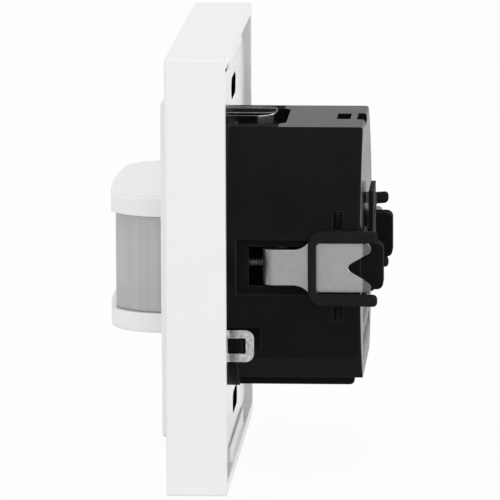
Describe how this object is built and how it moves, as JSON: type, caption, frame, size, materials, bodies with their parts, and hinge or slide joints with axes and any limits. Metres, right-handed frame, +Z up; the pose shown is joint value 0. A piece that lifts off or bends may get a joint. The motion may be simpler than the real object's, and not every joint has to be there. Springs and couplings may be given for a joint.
{
  "type": "motion sensor light switch",
  "caption": "Flush wall switch with a motion sensor head, square frame, steel support ring and a round insert held in its wall box by screw-driven spreading claws.",
  "frame": {"origin": "middle of the box screw pattern, on the rear face of the support ring", "axes": "+Z up, the front faces -Y, +Y into the wall box"},
  "size_m": [0.081, 0.052, 0.081],
  "materials": {
    "white_plastic": "satin moulded thermoplastic",
    "lens_plastic": "translucent polyethylene, faintly ribbed",
    "zinc_steel": "bright zinc plating",
    "claw_steel": "dull zinc plating",
    "black_plastic": "satin moulded thermoset",
    "dark_plastic": "satin moulded thermoplastic",
    "band_rubber": "matt black rubber",
    "grey_plastic": "matt",
    "blue_plastic": "matt",
    "yellow_plastic": "matt",
    "circuit_board": "solder resist",
    "tinned_metal": "tinned",
    "clear_resin": "clear",
    "red_resin": "tinted",
    "capacitor_sleeve": "shrunk sleeve",
    "copper_winding": "enamelled wire",
    "brass": "bare"
  },
  "bodies": {
    "switch": {"frame": "white_plastic", "cover_plate": "white_plastic", "fresnel_lens": "lens_plastic", "sensor_pcb": "circuit_board", "pyro_sensor": "tinned_metal", "light_sensor": "clear_resin", "status_lamp": "red_resin", "trimmer_bodies": "blue_plastic", "plug_header": "black_plastic", "sensor_back_cover": "grey_plastic", "support_ring": "zinc_steel", "insert_cap": "black_plastic", "header_socket": "black_plastic", "insert_housing": "black_plastic", "main_pcb": "circuit_board", "relay": "blue_plastic", "smoothing_capacitor": "capacitor_sleeve", "film_capacitor": "yellow_plastic", "choke": "copper_winding", "fuse": "capacitor_sleeve", "terminal_clamps": "brass", "terminal_insulators": "dark_plastic", "claw_band_right": "band_rubber", "claw_band_left": "band_rubber"},
    "lux_dial": {"lux_dial": "grey_plastic"},
    "time_dial": {"time_dial": "grey_plastic"},
    "release_slide": {"release_slide": "dark_plastic"},
    "claw_right": {"claw_right": "claw_steel"},
    "claw_left": {"claw_left": "claw_steel"},
    "claw_screw_right": {"claw_screw_right": "zinc_steel"},
    "claw_screw_left": {"claw_screw_left": "zinc_steel"},
    "claw_nut_right": {"claw_nut_right": "zinc_steel"},
    "claw_nut_left": {"claw_nut_left": "zinc_steel"}
  },
  "joints": [
    {"name": "claw_right_swing", "type": "hinge", "parent": "switch", "child": "claw_right", "pos_m": [0.017, 0.0075, 0], "axis": [0, 0, -1], "range_deg": [0, 12], "deforming": ["claw_band_right"]},
    {"name": "claw_screw_right_turn", "type": "hinge", "parent": "switch", "child": "claw_screw_right", "pos_m": [0.0215, 0, 0], "axis": [0, 1, 0], "range_deg": [0, 640.8]},
    {"name": "claw_nut_right_draw", "type": "slide", "parent": "switch", "child": "claw_nut_right", "axis": [0, -1, 0], "range_m": [0, 0.00089]},
    {"name": "claw_left_swing", "type": "hinge", "parent": "switch", "child": "claw_left", "pos_m": [-0.017, 0.0075, -0.0021], "axis": [0, 0, 1], "range_deg": [0, 12], "deforming": ["claw_band_left"]},
    {"name": "claw_screw_left_turn", "type": "hinge", "parent": "switch", "child": "claw_screw_left", "pos_m": [-0.0215, 0, -0.0021], "axis": [0, 1, 0], "range_deg": [0, 640.8]},
    {"name": "claw_nut_left_draw", "type": "slide", "parent": "switch", "child": "claw_nut_left", "axis": [0, -1, 0], "range_m": [0, 0.00089]},
    {"name": "release_slide_push", "type": "slide", "parent": "switch", "child": "release_slide", "axis": [0, 0, 1], "range_m": [-0.0018, 0], "stiffness_N_per_m": 400},
    {"name": "lux_dial_turn", "type": "hinge", "parent": "switch", "child": "lux_dial", "pos_m": [-0.013, 0, -0.012], "axis": [0, 1, 0], "range_deg": [-135, 135]},
    {"name": "time_dial_turn", "type": "hinge", "parent": "switch", "child": "time_dial", "pos_m": [0.013, 0, -0.012], "axis": [0, 1, 0], "range_deg": [-135, 135]}
  ],
  "couplings": [
    {"joint": "claw_screw_right_turn", "follows": "claw_right_swing", "ratio": 53.399},
    {"joint": "claw_nut_right_draw", "follows": "claw_right_swing", "m_per_rad": 0.0042493},
    {"joint": "claw_screw_left_turn", "follows": "claw_left_swing", "ratio": 53.399},
    {"joint": "claw_nut_left_draw", "follows": "claw_left_swing", "m_per_rad": 0.0042493}
  ]
}
